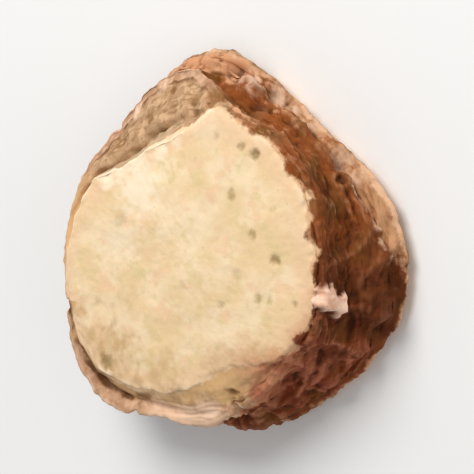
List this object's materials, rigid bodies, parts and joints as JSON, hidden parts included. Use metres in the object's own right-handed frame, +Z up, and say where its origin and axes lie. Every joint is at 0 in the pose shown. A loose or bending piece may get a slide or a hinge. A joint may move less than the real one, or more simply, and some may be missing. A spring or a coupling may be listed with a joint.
{
  "type": "white turmeric root slice",
  "caption": "Dried slice of white turmeric root: pale cut face, wrinkled red-brown bark flaring to a thin rim, flat back that it lies on.",
  "frame": {"origin": "on the plane the slice lies on, under the middle of its bounding box", "axes": "+Z up out of the smaller cut face, along the rhizome's growth axis; +X towards the broken ledge; -Y towards the widest flare of the rim"},
  "size_m": [0.031, 0.0332, 0.0085],
  "materials": {
    "dried_rhizome": "matt, starchy cream flesh on the cut faces and dull red-brown wrinkled bark round the side"
  },
  "bodies": {
    "root": {"root_slice": "dried_rhizome"}
  },
  "joints": []
}
